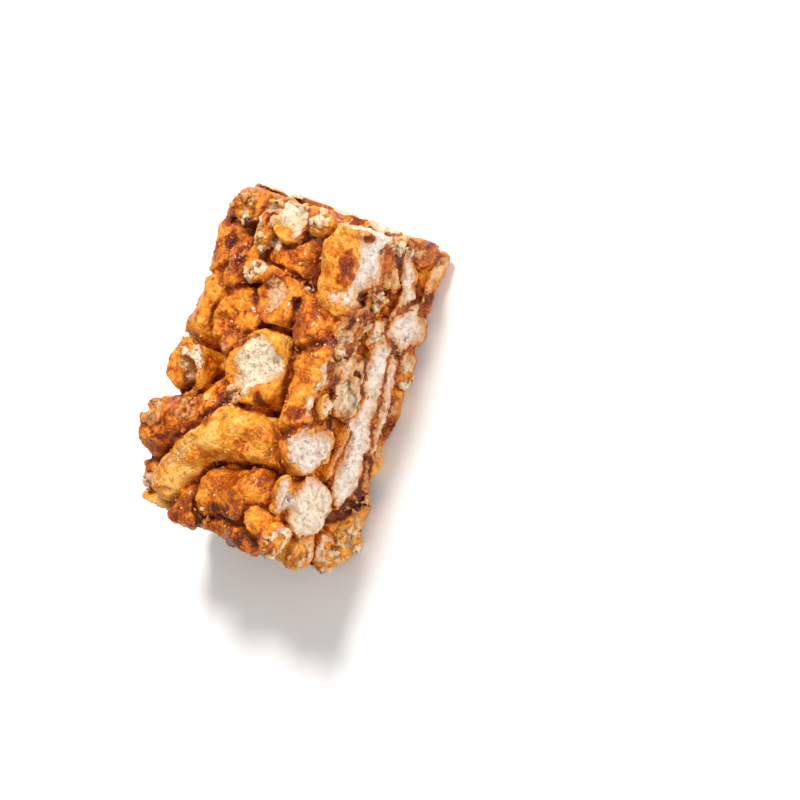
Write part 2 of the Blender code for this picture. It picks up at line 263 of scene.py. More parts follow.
CUT_SIDE_ROLLS = [
    Roll("cell_high", 6.0, [(-11.5, -24, 30), (-11.8, -12.5, 23)], (TORN, ROUND), toast=0.05),
    Roll("cell_wide", 7.2, [(-24.5, -25, 21.5), (-24, -11, 21.5)], (TORN, ROUND), toast=0.28),
    Roll("cell_gold", 5.4, [(8, -24, 25), (8, -12, 24)], (TORN, ROUND), toast=0.5),
    Roll("long_cell", 4.7, [(12, -18.8, 14.2), (-4, -18.8, 12.4), (-19.5, -18.4, 11.5)], toast=0.0),
    Roll("thin_cell", 2.6, [(13, -19, 9.6), (1, -19, 6.8), (-9, -19, 6.0)], toast=0.0),
    Roll("split_cell", 6.6, [(18, -24, 7.6), (18, -12, 7.4)], (TORN, ROUND), toast=0.0),
    Roll("split_neck", 2.8, [(34, -18.8, 14.8), (28, -18.8, 12.6), (22, -18.8, 11)], toast=0.0),
    Roll("split_tail", 2.8, [(15, -18.8, 5.4), (8, -18.8, 3.4)], toast=0.2),
    Roll("head_skin", 2.8, [(35, -17.4, 12.5), (35, -17.2, 7)], tone=0.65, toast=0.4),
    Roll("back_skin", 3.2, [(33, -17.2, 4), (26, -17.2, 3.6)], tone=0.40, toast=0.4),
    Roll("pale_crust", 3.2, [(-3, -17, 3.2), (-14, -17, 3.4)], tone=0.12, toast=0.4),
    Roll("pale_low", 3.5, [(-23, -17.5, 4), (-31, -17.5, 4.5)], tone=0.15, toast=0.4),
    Roll("foot_white", 3.9, [(-33, -24, 10), (-33, -13, 10)], (TORN, ROUND), toast=0.1),
    Roll("foot_gold", 5.0, [(-33.5, -16.5, 18.5), (-33, -8, 17)], tone=0.25, toast=0.3),
    Roll("foot_small", 3.2, [(-32, -24, 29), (-31, -13, 28)], (TORN, ROUND), toast=0.1),
    Roll("mid_cream", 4.2, [(15, -24, 17.5), (16.5, -12, 17)], (TORN, ROUND), toast=0.3),
    Roll("fold_a", 2.0, [(26, -19.3, 25), (14, -19.3, 30)], tone=0.45, toast=0.7),
    Roll("fold_b", 1.8, [(25, -19.3, 22), (15, -19.3, 26)], tone=0.60, toast=0.7),
    Roll("fold_c", 1.8, [(23, -19.3, 19.5), (15, -19.3, 23)], tone=0.45, toast=0.4),
    Roll("fold_d", 1.7, [(32, -19.3, 23), (27, -19.3, 20.5)], tone=0.45, toast=0.6),
    Roll("brown_long", 2.4, [(37, -18.2, 19.5), (27, -18.2, 17.5)], tone=0.70, toast=0.6),
    Roll("gold_line", 2.2, [(0, -18.6, 17.5), (-16, -18.6, 16.5)], tone=0.45, toast=0.5),
    Roll("small_fold", 2.0, [(-20, -19.3, 32), (-25, -19.3, 30)], tone=0.30, toast=0.1),
    Roll("knob", 2.9, [(-2.1, -17.4, 26), (-2.1, -10, 26)], tone=0.0, skin=COVERED),
    Roll("low_edge", 3.6, [(3, -16.8, 3.4), (-6, -16.8, 3.4)], tone=0.40, toast=0.5),
    Roll("mid_low", 3.4, [(25, -16.8, 3.4), (22, -16.2, 4)], tone=0.40, toast=0.3),
    Roll("syrup_lump", 4.4, [(-14, -16, 5.5), (-22, -16, 6)], tone=0.80, toast=0.9),
    Roll("head_edge", 3.0, [(34, -16.8, 20.5), (33.5, -16.4, 17)], tone=0.50, toast=0.4),
]

# Where steam blew a bowl with a deep hole into a stub, and the dent that the knob sits in
HOLLOWS = [
    Hollow("hollow_stub", (-6.2, 15.6, 33.6), (0.0, 0.3, 0.0), (4.0, 3.6, 3.2)),
    Hollow("hollow_stub", (-9.6, 15.4, 30.2), (0.15, 0.5, 0.0), (2.7, 2.7, 6.0)),
    Hollow("edge", (-2.1, -19.8, 27.4), (0.0, 0.0, 0.0), (4.1, 4.1, 4.1)),
]

# Spots where the skin is torn off and the crumb shows. The strength is the crumb's toast.
BARE_MARKS = [
    Mark("cream_face", (257, 362), 6.4, 0.45),
    Mark("cream_low", (247, 382), 4.2, 0.45),
    Mark("cream_right", (273, 367), 4.0, 0.45),
    Mark("hollow_rim", (197, 349), 2.8, 0.20),
    Mark("hollow_wall", (193, 361), 3.2, 0.42),
    Mark("hollow_side", (180, 366), 1.8, 0.42),
    Mark("hollow_floor", (190, 380), 2.8, 0.62),
    Mark("pale_face", (279, 294), 3.4, 0.66),
    Mark("pale_low", (272, 303), 2.0, 0.66),
    Mark("pale_chip", (296, 314), 0.9, 0.20),
    Mark("pale_bit", (310, 288), 1.2, 0.10),
    Mark("white_bit", (323, 264), 1.1, 0.0),
    Mark("fold_face", (262, 269), 2.4, 0.15),
    Mark("fold_end", (249, 274), 1.6, 0.30),
    Mark("ridge_low", (256, 243), 1.8, 0.10),
    Mark("ridge_high", (267, 224), 1.8, 0.10),
    Mark("ridge_side", (276, 243), 2.0, 0.15),
    Mark("ridge_top", (273, 212), 1.7, 0.15),
    Mark("ridge_middle", (262, 233), 1.7, 0.15),
    Mark("corner_torn", (243, 202), 2.2, 0.80),
    Mark("corner_pale", (254, 212), 1.4, 0.40),
    Mark("head_face", (292, 212), 4.3, 0.40),
    Mark("head_low", (295, 229), 2.2, 0.20),
    Mark("wrap_top", (380, 243), 2.2, 0.0),
    Mark("wrap_upper", (374, 256), 2.8, 0.0),
    Mark("wrap_middle", (366, 270), 2.6, 0.0),
    Mark("wrap_lower", (358, 284), 2.5, 0.0),
    Mark("wrap_turn", (350, 294), 2.3, 0.0),
    Mark("wrap_low", (341, 301), 2.2, 0.0),
    Mark("wrap_end", (331, 298), 1.9, 0.05),
    Mark("wrap_spot", (364, 231), 1.6, 0.10),
    Mark("edge_top", (325, 371), 2.2, 0.10),
    Mark("edge_middle", (317, 388), 2.0, 0.10),
    Mark("edge_low", (309, 403), 1.9, 0.10),
    Mark("knob_face", (330, 407), 2.9, 0.50),
    Mark("edge_tail", (305, 415), 1.4, 0.20),
    Mark("gold_streak", (180, 402), 1.9, 0.95),
    Mark("gold_streak_low", (187, 411), 1.4, 0.95),
    Mark("foot_pale", (267, 551), 1.7, 0.20),
    Mark("foot_chip", (279, 537), 1.7, 0.20),
    Mark("under_curve", (224, 462), 1.2, 0.35),
    Mark("under_curve_low", (213, 467), 1.3, 0.45),
    Mark("high_left", (291, 441), 2.8, 0.10),
    Mark("high_low", (294, 456), 2.8, 0.10),
    Mark("wide_left", (290, 497), 2.8, 0.10),
    Mark("wide_low", (298, 524), 2.8, 0.10),
    Mark("gold_cream_top", (344, 347), 3.4, 0.45),
    Mark("gold_cream_left", (335, 358), 2.6, 0.45),
    Mark("gold_cream_low", (350, 369), 3.0, 0.50),
    Mark("gold_cream_tail", (351, 391), 2.0, 0.60),
    Mark("mid_pale", (379, 338), 2.4, 0.25),
    Mark("mid_chip", (388, 319), 1.5, 0.10),
    Mark("right_band", (437, 280), 1.2, 0.50),
    Mark("right_band_low", (428, 302), 1.3, 0.55),
    Mark("top_strip", (398, 237), 1.3, 0.25),
    Mark("top_strip_right", (414, 240), 1.3, 0.25),
    Mark("top_corner", (440, 259), 1.2, 0.25),
]

# Patches where the dough is torn into shards of crumb and skin. The strength is the crumb's toast.
TORN_MARKS = [
    Mark("rough", (231, 316), 4.8, 0.60),
    Mark("rough_low", (226, 335), 3.8, 0.62),
    Mark("corner_top", (243, 199), 4.4, 0.75),
    Mark("corner_low", (247, 214), 3.0, 0.50),
    Mark("ridge_high", (269, 222), 2.4, 0.30),
    Mark("ridge_low", (258, 243), 2.5, 0.30),
    Mark("fold", (252, 272), 3.0, 0.50),
    Mark("chips", (308, 284), 2.2, 0.40),
    Mark("dark_end", (153, 412), 3.6, 0.85),
    Mark("dark_tear", (182, 406), 2.8, 0.90),
    Mark("hollow_crest", (186, 348), 2.4, 0.30),
    Mark("cream_fringe", (238, 398), 2.8, 0.75),
    Mark("foot", (273, 548), 4.0, 0.50),
    Mark("foot_corner", (330, 559), 4.2, 0.50),
    Mark("foot_edge", (300, 556), 3.4, 0.70),
    Mark("foot_flake", (352, 537), 4.0, 0.50),
    Mark("edge_between", (405, 378), 2.6, 0.55),
    Mark("folds_high", (374, 300), 4.0, 0.58),
    Mark("folds_low", (366, 328), 4.0, 0.55),
    Mark("gold_cream", (344, 352), 3.6, 0.62),
    Mark("gold_cream_low", (354, 382), 2.6, 0.66),
    Mark("head_strip", (398, 250), 2.8, 0.50),
    Mark("head_small", (318, 218), 2.6, 0.40),
    Mark("side_pool", (361, 503), 3.4, 1.30),
    Mark("left_edge", (148, 470), 3.0, 0.60),
]

# Stains of thick syrup, and thin spots where the strength is below 0; the pit stains add painted shade, and
# the spot on the curved roll's tip is painted light
SYRUP_MARKS = [
    Mark("head_blotch", (347, 260), 3.5, 0.48),
    Mark("head_blotch_low", (342, 279), 3.2, 0.52),
    Mark("wrap_stain", (370, 241), 1.9, 0.60),
    Mark("left_stain", (232, 240), 3.0, 0.35),
    Mark("left_stain_low", (222, 266), 2.6, 0.35),
    # The next two darken pits: syrup pooled there, and painted shade
    Mark("ridge_pit", (253, 225), 3.0, 0.75),
    Mark("pit", (301, 300), 2.4, 0.80),
    Mark("dark_end", (158, 430), 4.4, 0.20),
    Mark("dark_middle", (207, 418), 3.0, 0.25),
    Mark("curve_stain", (239, 449), 3.0, 0.30),
    Mark("curve_end", (270, 410), 2.6, 0.20),
    Mark("tucked_stain", (222, 514), 4.6, 0.30),
    Mark("toe_stain", (233, 537), 3.6, 0.30),
    Mark("orange_low", (293, 414), 3.2, 0.35),
    Mark("cream_foot", (262, 404), 2.2, 0.35),
    Mark("side_pool", (358, 502), 3.2, 0.32),
    Mark("fold_pool", (366, 300), 2.6, 0.40),
    Mark("neck_pool", (398, 262), 2.6, 0.45),
    Mark("curve_gold", (212, 432), 3.8, -0.22),
    # Painted light: lightens the curved roll's tip, which turns away from the key light
    Mark("curve_tip_painted_light", (178, 478), 5.4, -0.38),
    Mark("cream_skin_gold", (284, 336), 3.0, -0.22),
    Mark("orange_dark", (318, 330), 3.0, 0.16),
    Mark("tucked_gold", (203, 496), 3.2, -0.25),
    Mark("tucked_gold_right", (257, 498), 3.0, -0.20),
    Mark("head_gold", (338, 232), 3.6, -0.15),
    Mark("foot_left_gold", (158, 505), 4.0, -0.25),
    Mark("left_gold_spot", (214, 292), 3.0, -0.20),
]

# Crumbs and flakes that stick to the syrup: kinds, numbers, half sizes in millimetres, and how far out of the
# surface their middles lie, as shares of the half size
CRUMB_KINDS = 6
FLAKE_KINDS = 4
CRUMBS = 220
FLAKES = 110
CRUMB_SIZES = (0.20, 0.60)
FLAKE_SIZES = (0.5, 1.2)
CRUMB_LIFT = 0.25
FLAKE_LIFT = 0.15
FLAKE_THICKNESS = 0.16

# Their broken sides: how many, and how far from the middle, as shares of the half size
CRUMB_CUTS = 4
CRUMB_CUTS_AT = (0.45, 0.8)
FLAKE_CUTS = 5
FLAKE_CUTS_AT = (0.4, 0.9)
FLAKE_CUTS_TURN = (-0.3, 0.3)
FLAKE_GRID = 6

# How they vary: most are small, by the power that an even throw is raised to, and each is tilted, in radians,
# stretched and toasted differently
SMALL_POWER = 2.5
CRUMB_TILT = 0.6
CRUMB_STRETCHES = ((0.7, 1.2), (0.7, 1.2), (0.6, 1.0))
CRUMB_TOASTS = (0.2, 1.0)

# Where they stick: a torn edge is where the crumb begins, and a crease is this wide, both in millimetres. Few
# stick in a crease or on plain skin, and none low down or on what looks down.
TORN_EDGE_DEPTH = 0.2
TORN_EDGE_REACH = 1.4
CREASE_REACH = 1.6
CREASE_CHANCE = 0.1
SKIN_CHANCE = 0.004
LOWEST_FACING = -0.3
LOWEST_CRUMB = 2.0


def deselect_all():
    """Clears the selection, so that an operator acts only on what is picked next."""
    if bpy.context.mode != "OBJECT":
        bpy.ops.object.mode_set(mode="OBJECT")
    bpy.ops.object.select_all(action="DESELECT")


def pick(obj):
    """Makes one object the only selected and active one."""
    deselect_all()
    obj.select_set(True)
    bpy.context.view_layer.objects.active = obj


def apply_modifier(obj, name):
    """Applies one modifier of an object."""
    pick(obj)
    bpy.ops.object.modifier_apply(modifier=name)


def join(pieces, name):
    """Joins objects into one."""
    deselect_all()
    for piece in pieces:
        piece.select_set(True)
    bpy.context.view_layer.objects.active = pieces[0]
    bpy.ops.object.join()
    joined = bpy.context.object
    joined.name = name
    return joined


def smooth_path(points, steps):
    """Points on a Catmull-Rom curve through the given ones."""
    p = [np.array(q, float) for q in points]
    if len(p) == 2:
        return [p[0] + (p[1] - p[0]) * i / steps for i in range(steps + 1)]
    p = [2 * p[0] - p[1], *p, 2 * p[-1] - p[-2]]
    path = []
    for a, b, c, d in zip(p, p[1:], p[2:], p[3:]):
        for i in range(steps):
            t = i / steps
            square = (2 * a - 5 * b + 4 * c - d) * t**2
            cube = (3 * b - a - 3 * c + d) * t**3
            path.append(0.5 * (2 * b + (c - a) * t + square + cube))
    path.append(p[-2])
    return path


def samples_of(points):
    """A few points along a roll, for measuring how close two rolls lie."""
    path = np.array(smooth_path(points, MEASURE_STEPS))
    return path[np.linspace(0, len(path) - 1, MEASURE_POINTS).round().astype(int)]


def faces_of_block(back):
    """The block's faces, the two shown ones last, as middle, inward direction and two half sides."""
    half_x, half_y, half_z = LENGTH / 2, (BACK_SIDE - CUT_SIDE) / 2, HEIGHT / 2
    x, y, z = np.eye(3)
    return [
        (np.array([0, MIDDLE_Y, 0]), z, x * half_x, y * half_y),
        (np.array([0, back, half_z]), -y, x * half_x, z * half_z),
        (np.array([half_x, MIDDLE_Y, half_z]), -x, y * half_y, z * half_z),
        (np.array([-half_x, MIDDLE_Y, half_z]), x, y * half_y, z * half_z),
        (np.array([0, MIDDLE_Y, HEIGHT]), -z, x * half_x, y * half_y),
        (np.array([0, CUT_SIDE, half_z]), y, x * half_x, z * half_z),
    ]


def crowded(points, radius, others, share):
    """Whether a roll would run into one that is already there."""
    here = samples_of(points)
    for there, other in others:
        gap = np.sqrt(((here[:, None] - there[None]) ** 2).sum(2)).min()
        if gap < share * (radius + other):
            return True
    return False


def throw_roll(dice, radius, face, fills_gap):
    """The points of a roll that the dice lay along a face, stand on it, or lay under it to fill a gap."""
    middle, inward, side_a, side_b = face
    spot = middle + dice.uniform(-1, 1) * side_a + dice.uniform(-1, 1) * side_b
    half_roll = dice.uniform(*ROLL_LENGTHS) / 2
    turn = dice.uniform(0, 2 * math.pi)
    flat = math.cos(turn) * side_a / np.linalg.norm(side_a) + math.sin(turn) * side_b / np.linalg.norm(side_b)
    bend = dice.uniform(-MOST_BEND, MOST_BEND) * half_roll * np.cross(inward, flat)
    if fills_gap:
        spot = spot + dice.uniform(*FILL_DEPTHS) * inward
        reach = FILL_LENGTH_SHARE * half_roll * flat
        return [spot - reach, spot + bend, spot + reach]
    if dice.uniform() < END_ON_SHARE:
        outer, turning, inner = END_ON_DEPTHS
        return [spot + outer * inward, spot + turning * inward + bend, spot + inner * inward]
    spot = spot + dice.uniform(*SUNK_SHARES) * radius * inward
    return [spot - half_roll * flat, spot + bend, spot + half_roll * flat]


def more_rolls(shown):
    """Rolls along the faces that aren't shown, then small ones in the gaps: seeded darts that don't crowd."""
    dice = np.random.default_rng(SEED)
    looks = np.random.default_rng(SEED + 1)
    placed = [(samples_of(roll.path), roll.radius) for roll in shown]
    made = []
    faces = faces_of_block(BACK_SIDE - BACK_ROLLS_IN)
    passes = (
        (HIDDEN_RADII, HIDDEN_CROWDING, faces[:4], False),
        (FILL_RADII, FILL_CROWDING, faces, True),
        (SLIVER_RADII, SLIVER_CROWDING, faces[5:], False),
    )
    for radii, share, chosen, fills_gap in passes:
        for face in chosen * DARTS:
            radius = dice.uniform(*radii)
            points = throw_roll(dice, radius, face, fills_gap)
            inward = face[1]
            too_high = max(q[2] for q in points) > HEIGHT - radius - TOP_SPARE
            too_near = radii != SLIVER_RADII and min(q[1] for q in points) < CUT_SIDE + radius
            too_far = inward[1] == 0 and max(q[1] for q in points) > BACK_SIDE - radius
            if too_high or too_near or too_far or crowded(points, radius, placed, share):
                continue
            placed.append((samples_of(points), radius))
            tone = DEEP_TONE if fills_gap else looks.uniform(*SEEDED_TONES)
            toast = looks.uniform(*SEEDED_TOASTS)
            made.append(Roll(f"more_{len(made):02d}", radius, points, tone=tone, toast=toast))
    return made


def rings_along(length, radius, ends):
    """Where a straight roll has its rings, and their radii: rounded tips, or blunt torn ends."""
    count = max(FEWEST_RINGS, round(length / RING_SPACING))
    rings = [(length * i / count, radius) for i in range(count + 1)]
    first = [(-radius * reach, radius * share) for reach, share in END_STEPS[ends[0]]]
    last = [(length + radius * reach, radius * share) for reach, share in END_STEPS[ends[1]]]
    return first[::-1] + rings + last


def lay_roll(roll, dice):
    """One dough roll: a disc drawn out ring by ring, bent along its line and cut where the knife passed."""
    path = smooth_path(roll.path, LAY_STEPS)
    length = sum(np.linalg.norm(b - a) for a, b in zip(path, path[1:]))
    rings = rings_along(length, roll.radius, roll.ends)
    deselect_all()
    bpy.ops.mesh.primitive_circle_add(
        vertices=ROLL_SIDES,
        radius=rings[0][1] * MM,
        fill_type="NGON",
        location=(rings[0][0] * MM, 0, 0),
        rotation=(0, math.pi / 2, 0),
    )
    made = bpy.context.object
    made.name = roll.name
    bpy.ops.object.transform_apply(location=True, rotation=True, scale=True)
    bpy.ops.object.mode_set(mode="EDIT")
    bpy.ops.mesh.select_all(action="SELECT")
    for (x0, size0), (x1, size1) in zip(rings, rings[1:]):
        bpy.ops.mesh.extrude_region_move(TRANSFORM_OT_translate={"value": ((x1 - x0) * MM, 0, 0)})
        if size1 != size0:
            grow = size1 / size0
            bpy.ops.transform.resize(value=(1, grow, grow), center_override=(x1 * MM, 0, 0))
    bpy.ops.mesh.select_all(action="SELECT")
    bpy.ops.mesh.normals_make_consistent(inside=False)
    bpy.ops.object.mode_set(mode="OBJECT")

    line = bpy.data.curves.new(roll.name + "_line", "CURVE")
    line.dimensions = "3D"
    line.twist_mode = "MINIMUM"
    spline = line.splines.new("POLY")
    spline.points.add(len(path) - 1)
    for point, place in zip(spline.points, path):
        point.co = (*(place * MM), 1.0)
    guide = bpy.data.objects.new(roll.name + "_line", line)
    bpy.context.scene.collection.objects.link(guide)
    bend = made.modifiers.new("bend", "CURVE")
    bend.object = guide
    bend.deform_axis = "POS_X"
    apply_modifier(made, "bend")
    bpy.data.objects.remove(guide)
    trim(made, dice)
    return made


def trim(piece, dice):
    """Cuts a roll off where it reaches past the block's faces, a little differently for each roll."""
    corners = np.array([vert.co for vert in piece.data.vertices])
    middle = corners.mean(axis=0)
    for on_face, inward, _, _ in faces_of_block(BACK_SIDE):
        depths = (corners - on_face * MM) @ inward - MM * dice.uniform(0, 2 * CUT_WANDER)
        tilt = dice.normal(0, math.sin(CUT_TILT), 3)
        if depths.min() > 0:
            continue
        pick(piece)
        bpy.ops.object.mode_set(mode="EDIT")
        bpy.ops.mesh.select_all(action="SELECT")
        bpy.ops.mesh.bisect(
            plane_co=middle - depths.mean() * inward,
            plane_no=(tilt - inward) / np.linalg.norm(tilt - inward),
            use_fill=True,
            clear_outer=True,
        )
        bpy.ops.object.mode_set(mode="OBJECT")


def hollow_out(rolls):
    """Takes each hollow's ball out of its roll."""
    by_name = {roll.name: roll for roll in rolls}
    for hollow in HOLLOWS:
        deselect_all()
        bpy.ops.mesh.primitive_uv_sphere_add(
            segments=16,
            ring_count=10,
            radius=1.0,
            location=Vector(hollow.place) * MM,
            rotation=hollow.turn,
            scale=Vector(hollow.size) * MM,
        )
        ball = bpy.context.object
        cut = by_name[hollow.roll].modifiers.new("hollow", "BOOLEAN")
        cut.operation = "DIFFERENCE"
        cut.object = ball
        apply_modifier(by_name[hollow.roll], "hollow")
        bpy.data.objects.remove(ball)


def syrup_body():
    """The syrup that fills the space between the rolls."""
    inset = SYRUP_SET_BACK
    low = Vector((-LENGTH / 2 + inset, CUT_SIDE + inset, SYRUP_BOTTOM)) * MM
    high = Vector((LENGTH / 2 - inset, BACK_SIDE - inset, SYRUP_TOP)) * MM
    deselect_all()
    bpy.ops.mesh.primitive_cube_add(size=1.0, location=(low + high) / 2, scale=high - low)
    body = bpy.context.object
    body.name = "syrup_body"
    bpy.ops.object.transform_apply(location=True, rotation=True, scale=True)
    bpy.ops.object.mode_set(mode="EDIT")
    bpy.ops.mesh.select_all(action="SELECT")
    bpy.ops.mesh.bevel(offset=SYRUP_ROUNDING * MM, segments=3, affect="EDGES")
    bpy.ops.object.mode_set(mode="OBJECT")
    return body


def fuse(pieces, name):
    """Joins the rolls and the syrup, and fuses them into one closed skin."""
    block = join(pieces, name)
    skin = block.modifiers.new("fuse", "REMESH")
    skin.mode = "VOXEL"
    skin.voxel_size = VOXEL * MM
    skin.adaptivity = 0.0
    apply_modifier(block, "fuse")
    return block


def largest_body(block):
    """Drops the sealed hollows inside, so that only the outer surface stays."""
    pick(block)
    bpy.ops.object.mode_set(mode="EDIT")
    bpy.ops.mesh.select_all(action="DESELECT")
    bpy.ops.object.mode_set(mode="OBJECT")
    places = positions(block)
    block.data.vertices[int(places[:, 2].argmax())].select = True
    bpy.ops.object.mode_set(mode="EDIT")
    bpy.ops.mesh.select_linked()
    bpy.ops.mesh.select_all(action="INVERT")
    bpy.ops.mesh.delete(type="VERT")
    bpy.ops.object.mode_set(mode="OBJECT")


def positions(obj):
    """An object's points, in metres."""
    flat = np.empty(len(obj.data.vertices) * 3)
    obj.data.vertices.foreach_get("co", flat)
    return flat.reshape(-1, 3)


def normals(obj):
    """The direction in which each of an object's points faces."""
    flat = np.empty(len(obj.data.vertices) * 3)
    obj.data.vertex_normals.foreach_get("vector", flat)
    return flat.reshape(-1, 3)


def set_positions(obj, places):
    """Moves an object's points."""
    obj.data.vertices.foreach_set("co", places.ravel())
    obj.data.update()


def distance_to_path(places, path):
    """How far each place is from a roll's middle line."""
    best = np.full(len(places), np.inf)
    for a, b in zip(path, path[1:]):
        run = b - a
        share = np.clip((places - a) @ run / (run @ run), 0, 1)
        best = np.minimum(best, ((places - a - share[:, None] * run) ** 2).sum(axis=1))
    return np.sqrt(best)


def outside_roll(places, roll, path):
    """How far each place is out of a roll, with the hollows that were taken out of it."""
    gap = distance_to_path(places, path) - roll.radius
    for hollow in HOLLOWS:
        if hollow.roll == roll.name:
            turned = (places - hollow.place) @ np.array(Euler(hollow.turn).to_matrix())
            gap = np.maximum(gap, (1 - np.linalg.norm(turned / hollow.size, axis=1)) * min(hollow.size))
    return gap


def nearest_rolls(places, rolls):
    """How far each place is out of the nearest roll and of the next one, and the nearest one's number."""
    first = np.full(len(places), LOOKUP_REACH)
    second = np.full(len(places), LOOKUP_REACH)
    owner = np.zeros(len(places), int)
    for number, roll in enumerate(rolls):
        path = np.array(smooth_path(roll.path, LOOKUP_STEPS))
        low = path.min(axis=0) - roll.radius - LOOKUP_REACH
        high = path.max(axis=0) + roll.radius + LOOKUP_REACH
        near = np.nonzero(((places > low) & (places < high)).all(axis=1))[0]
        if not len(near):
            continue
        gap = outside_roll(places[near], roll, path)
        nearer = gap < first[near]
        second[near] = np.where(nearer, first[near], np.minimum(second[near], gap))
        owner[near] = np.where(nearer, number, owner[near])
        first[near] = np.where(nearer, gap, first[near])
    return first, second, owner


def add_attribute(obj, name, values):
    """Stores one number for each point of a mesh."""
    layer = obj.data.attributes.new(name, "FLOAT", "POINT")
    layer.data.foreach_set("value", np.ascontiguousarray(values, dtype=np.float32))


def camera_axes():
    """The camera's right, up and forward directions."""
    level_right = Vector((math.cos(CAMERA_AZIMUTH), math.sin(CAMERA_AZIMUTH), 0))
    forward = Vector(
        (
            -math.sin(CAMERA_AZIMUTH) * math.cos(CAMERA_ELEVATION),
            math.cos(CAMERA_AZIMUTH) * math.cos(CAMERA_ELEVATION),
            -math.sin(CAMERA_ELEVATION),
        )
    )
    level_up = level_right.cross(forward)
    right = math.cos(CAMERA_ROLL) * level_right + math.sin(CAMERA_ROLL) * level_up
    up = -math.sin(CAMERA_ROLL) * level_right + math.cos(CAMERA_ROLL) * level_up
    return right, up, forward


def seen_at(surface, pixel):
    """The place on the block, in millimetres, that the photograph shows at a pixel."""
    right, up, forward = camera_axes()
    pixels_per_slope = IMAGE_SIZE * LENS / SENSOR
    across = (pixel[0] - IMAGE_SIZE / 2) / pixels_per_slope
    down = (pixel[1] - IMAGE_SIZE / 2) / pixels_per_slope
    eye = CAMERA_AIM - CAMERA_DISTANCE * forward + Vector((0, MIDDLE_Y, 0))
    hit = surface.ray_cast(eye * MM, forward + across * right - down * up)[0]
    return None if hit is None else np.array(hit) / MM


def inside_marks(places, surface, marks):
    """How deep each place is inside the nearest mark, in millimetres, and that mark's strength."""
    depth = np.full(len(places), -FAR_OUTSIDE)
    strength = np.zeros(len(places))
    for mark in marks:
        spot = seen_at(surface, mark.pixel)
        if spot is None:
            continue
        here = mark.radius - np.linalg.norm(places - spot, axis=1)
        strength = np.where(here > depth, mark.strength, strength)
        depth = np.maximum(depth, here)
    return depth, strength


def stains(places, surface, marks):
    """The sum of all marks at each place, each full in its middle and fading out to its radius."""
    total = np.zeros(len(places))
    for mark in marks:
        spot = seen_at(surface, mark.pixel)
        if spot is None:
            continue
        inside = 1 - np.linalg.norm(places - spot, axis=1) / mark.radius
        share = np.clip(STAIN_SLOPE * inside, 0, 1)
        total += mark.strength * share * share * (3 - 2 * share)
    return total


def shards(places, share):
    """How far each torn place stands out, from about -1 to 1: a noise, and 0 where nothing is torn."""
    height = np.zeros(len(places))
    for spot in np.nonzero(share)[0]:
        height[spot] = noise.fractal(Vector(places[spot] / SHARD_SIZE), *SHARD_NOISE)
    return height


def share_past(values, start, over):
    """0 up to a start, and rising to 1 over the given distance past it."""
    return np.clip((values - start) / over, 0, 1)


def describe_surface(block, rolls):
    """Works out what the surface is at each point, skin, bare crumb or syrup, and stores it for the looks."""
    places = positions(block) / MM
    first, second, owner = nearest_rolls(places, rolls)
    bpy.context.view_layer.update()
    surface = BVHTree.FromObject(block, bpy.context.evaluated_depsgraph_get())
    bare, bare_toast = inside_marks(places, surface, BARE_MARKS)
    torn, torn_toast = inside_marks(places, surface, TORN_MARKS)
    torn = share_past(torn, 0.0, over=TORN_EDGE)
    shard = shards(places, torn)
    skin, toast, tone = np.array([(roll.skin, roll.toast, roll.tone) for roll in rolls])[owner].T
    cut = np.minimum(-first, (second - first) / 2) - skin
    toast = np.where(bare > cut, bare_toast, toast)
    depth = np.maximum(cut, bare)
    facts = {
        "crumb_depth": depth + torn * (TORN_DEPTH + SHARD_DEPTH * shard - np.clip(depth, *COVERED_DEPTHS)),
        "bare": bare,
        "torn": torn,
        "shard": shard,
        "toast": toast + torn * (torn_toast - toast),
        "tone": tone,
        "pinch": second - np.maximum(first, 0),
        "outside": first,
        "stain": stains(places, surface, SYRUP_MARKS),
        # How far in from the block's faces a point lies, which the material uses for painted shade in deep
        # places
        "sunk": np.min(
            [
                LENGTH / 2 - np.abs(places[:, 0]),
                places[:, 1] - CUT_SIDE,
                BACK_SIDE - places[:, 1],
                places[:, 2],
                HEIGHT - places[:, 2],
            ],
            axis=0,
        ),
    }
    for name in SURFACE_FACTS:
        add_attribute(block, name, facts[name])
    return facts


def weights(block, name, values):
    """A vertex group with the given strength at each point."""
    group = block.vertex_groups.new(name=name)
    steps = np.round(np.clip(values, 0, 1) * 10).astype(int)
    for step in range(1, 11):
        chosen = np.nonzero(steps == step)[0]
        if len(chosen):
            group.add(chosen.tolist(), step / 10, "REPLACE")
    return group


def roughen(block, name, size, strength, group="", kind="CLOUDS", depth=1, in_all_ways=False):
    """Pushes the surface in and out by a noise of the given size and strength, both in millimetres."""
    texture = bpy.data.textures.new(name, kind)
    texture.noise_scale = size * MM
    if kind == "CLOUDS":
        texture.noise_depth = depth
        texture.cloud_type = "COLOR" if in_all_ways else "GRAYSCALE"
    push = block.modifiers.new(name, "DISPLACE")
    push.texture = texture
    push.texture_coords = "LOCAL"
    push.direction = "RGB_TO_XYZ" if in_all_ways else "NORMAL"
    push.strength = strength * MM
    push.mid_level = 0.5
    push.vertex_group = group
    apply_modifier(block, name)


def sink(block, name, depth, group):
    """Pushes a group of points inwards by a depth in millimetres."""
    push = block.modifiers.new(name, "DISPLACE")
    push.strength = -depth * MM
    push.mid_level = 0.0
    push.vertex_group = group
    apply_modifier(block, name)


def room_for_relief():
    """The corners that nothing reaches past, in millimetres, with Y counted from the block's middle."""
    half = np.array([LENGTH / 2, (BACK_SIDE - CUT_SIDE) / 2, HEIGHT]) + SPARE
    return half * (-1, -1, 0), half


def keep_inside(block):
    """Keeps the surface within the block's faces and flat where the block rests."""
    places = positions(block) / MM
    places[:, 1] -= MIDDLE_Y
    set_positions(block, np.clip(places, *room_for_relief()) * MM)


def triangle_count(obj):
    """How many triangles a mesh has."""
    return sum(len(face.vertices) - 2 for face in obj.data.polygons)


